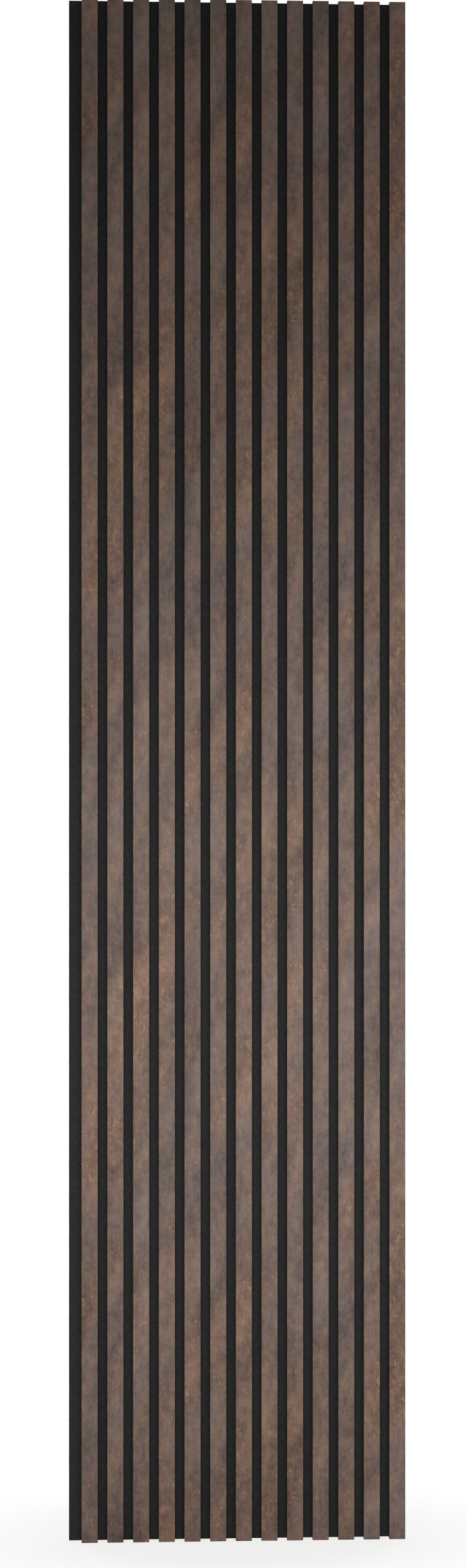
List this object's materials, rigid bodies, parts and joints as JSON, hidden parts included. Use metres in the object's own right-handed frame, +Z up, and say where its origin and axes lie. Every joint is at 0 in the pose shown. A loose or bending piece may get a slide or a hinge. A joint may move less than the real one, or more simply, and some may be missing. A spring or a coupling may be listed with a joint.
{
  "type": "acoustic panel",
  "caption": "Tall wall panel with upright rust-brown slats on a black felt board, with a bare felt strip along one long edge.",
  "frame": {"origin": "centre of the felt's back face, which lies on the wall", "axes": "+X to the right seen from the room, +Y into the wall, +Z up along the slats"},
  "size_m": [0.525, 0.021, 2.4],
  "materials": {
    "felt": "matte needled fibre",
    "dyed_fibreboard": "sawn, dyed through",
    "decor_laminate": "printed, fine satin",
    "staple_wire": "galvanised"
  },
  "bodies": {
    "root": {"felt_backing": "felt", "staples": "staple_wire", "slat_core_01": "dyed_fibreboard", "slat_core_02": "dyed_fibreboard", "slat_core_03": "dyed_fibreboard", "slat_core_04": "dyed_fibreboard", "slat_core_05": "dyed_fibreboard", "slat_core_06": "dyed_fibreboard", "slat_core_07": "dyed_fibreboard", "slat_core_08": "dyed_fibreboard", "slat_core_09": "dyed_fibreboard", "slat_core_10": "dyed_fibreboard", "slat_core_11": "dyed_fibreboard", "slat_core_12": "dyed_fibreboard", "slat_core_13": "dyed_fibreboard", "slat_face_01": "decor_laminate", "slat_face_02": "decor_laminate", "slat_face_03": "decor_laminate", "slat_face_04": "decor_laminate", "slat_face_05": "decor_laminate", "slat_face_06": "decor_laminate", "slat_face_07": "decor_laminate", "slat_face_08": "decor_laminate", "slat_face_09": "decor_laminate", "slat_face_10": "decor_laminate", "slat_face_11": "decor_laminate", "slat_face_12": "decor_laminate", "slat_face_13": "decor_laminate"}
  },
  "joints": []
}
